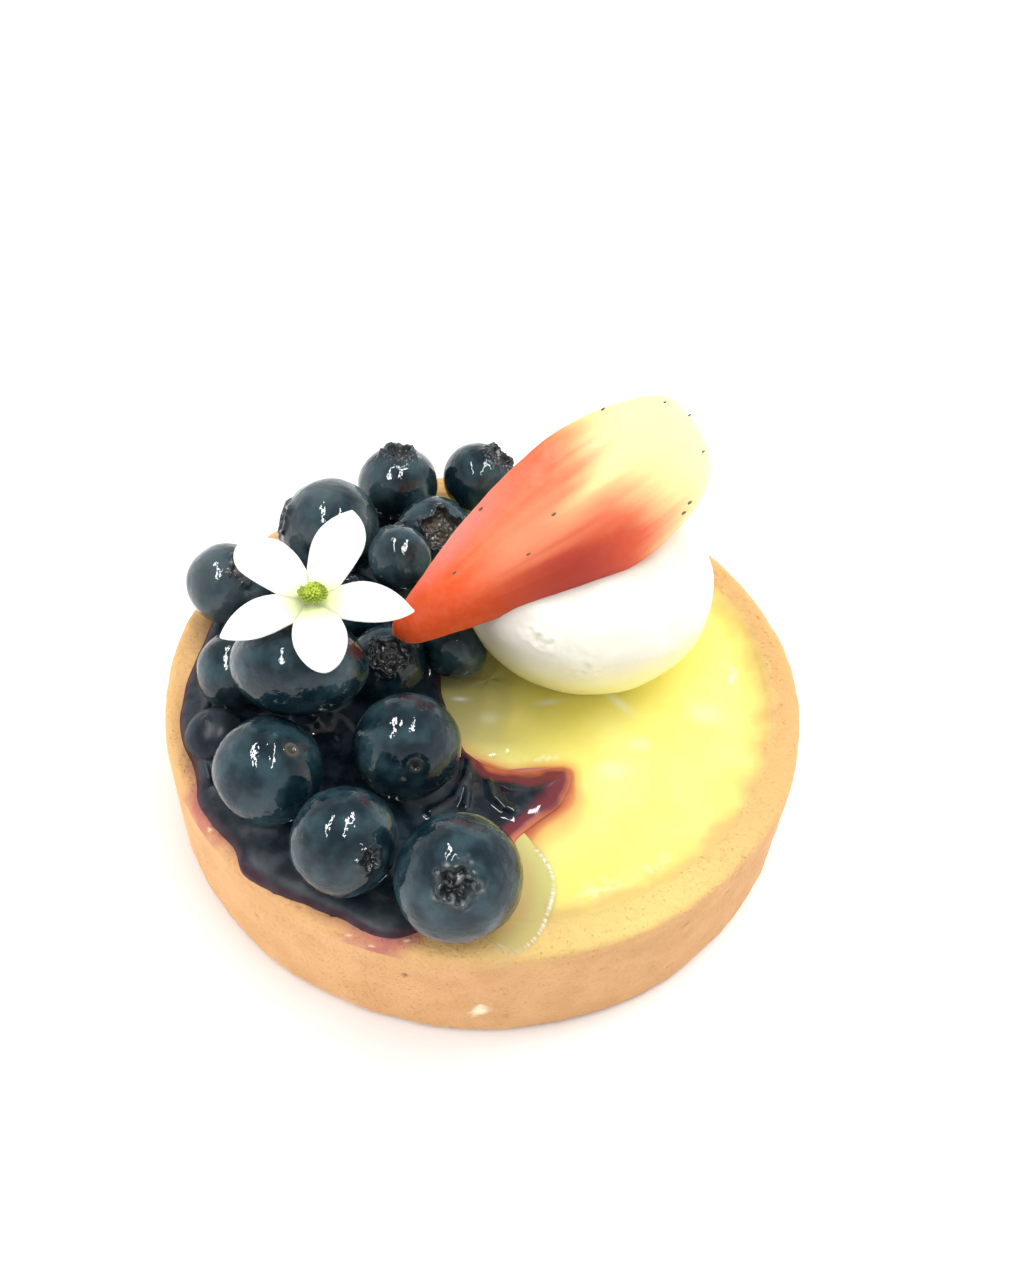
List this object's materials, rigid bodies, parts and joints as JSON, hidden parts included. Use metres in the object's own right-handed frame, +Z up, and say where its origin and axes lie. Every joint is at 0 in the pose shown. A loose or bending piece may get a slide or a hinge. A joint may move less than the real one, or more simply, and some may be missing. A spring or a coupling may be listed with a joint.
{
  "type": "fruit tart",
  "caption": "Small round custard tart in a straight-sided pastry shell, topped with blueberries in jam, a ball of cream, a strawberry wedge and a white flower.",
  "frame": {"origin": "centre of the flat round base", "axes": "+Z up out of the tart, -Y toward the front where the picture is taken from, +X to the right of that view"},
  "size_m": [0.08, 0.0809, 0.0499],
  "materials": {
    "crust": "matte baked pastry, slightly grainy",
    "custard": "glossy glazed custard",
    "jam": "wet and very dark, reddish where thin",
    "blueberry": "glazed dark blue skin with grey bloom",
    "cream": "smooth soft satin",
    "strawberry": "moist satin skin, red to pale yellow",
    "petal": "soft matte white",
    "flower_eye": "matte, finely tufted"
  },
  "bodies": {
    "root": {"crust": "crust", "custard": "custard", "jam": "jam", "blueberry_front": "blueberry", "blueberry_front_left": "blueberry", "blueberry_left_front": "blueberry", "blueberry_centre_front": "blueberry", "blueberry_by_rim": "blueberry", "blueberry_left": "blueberry", "blueberry_left_back": "blueberry", "blueberry_back_left": "blueberry", "blueberry_back": "blueberry", "blueberry_back_right": "blueberry", "blueberry_open": "blueberry", "blueberry_by_cream": "blueberry", "blueberry_hidden": "blueberry", "blueberry_centre": "blueberry", "blueberry_small_top": "blueberry", "blueberry_big_top": "blueberry", "cream": "cream", "strawberry": "strawberry", "flower_petals": "petal", "flower_eye": "flower_eye"}
  },
  "joints": []
}
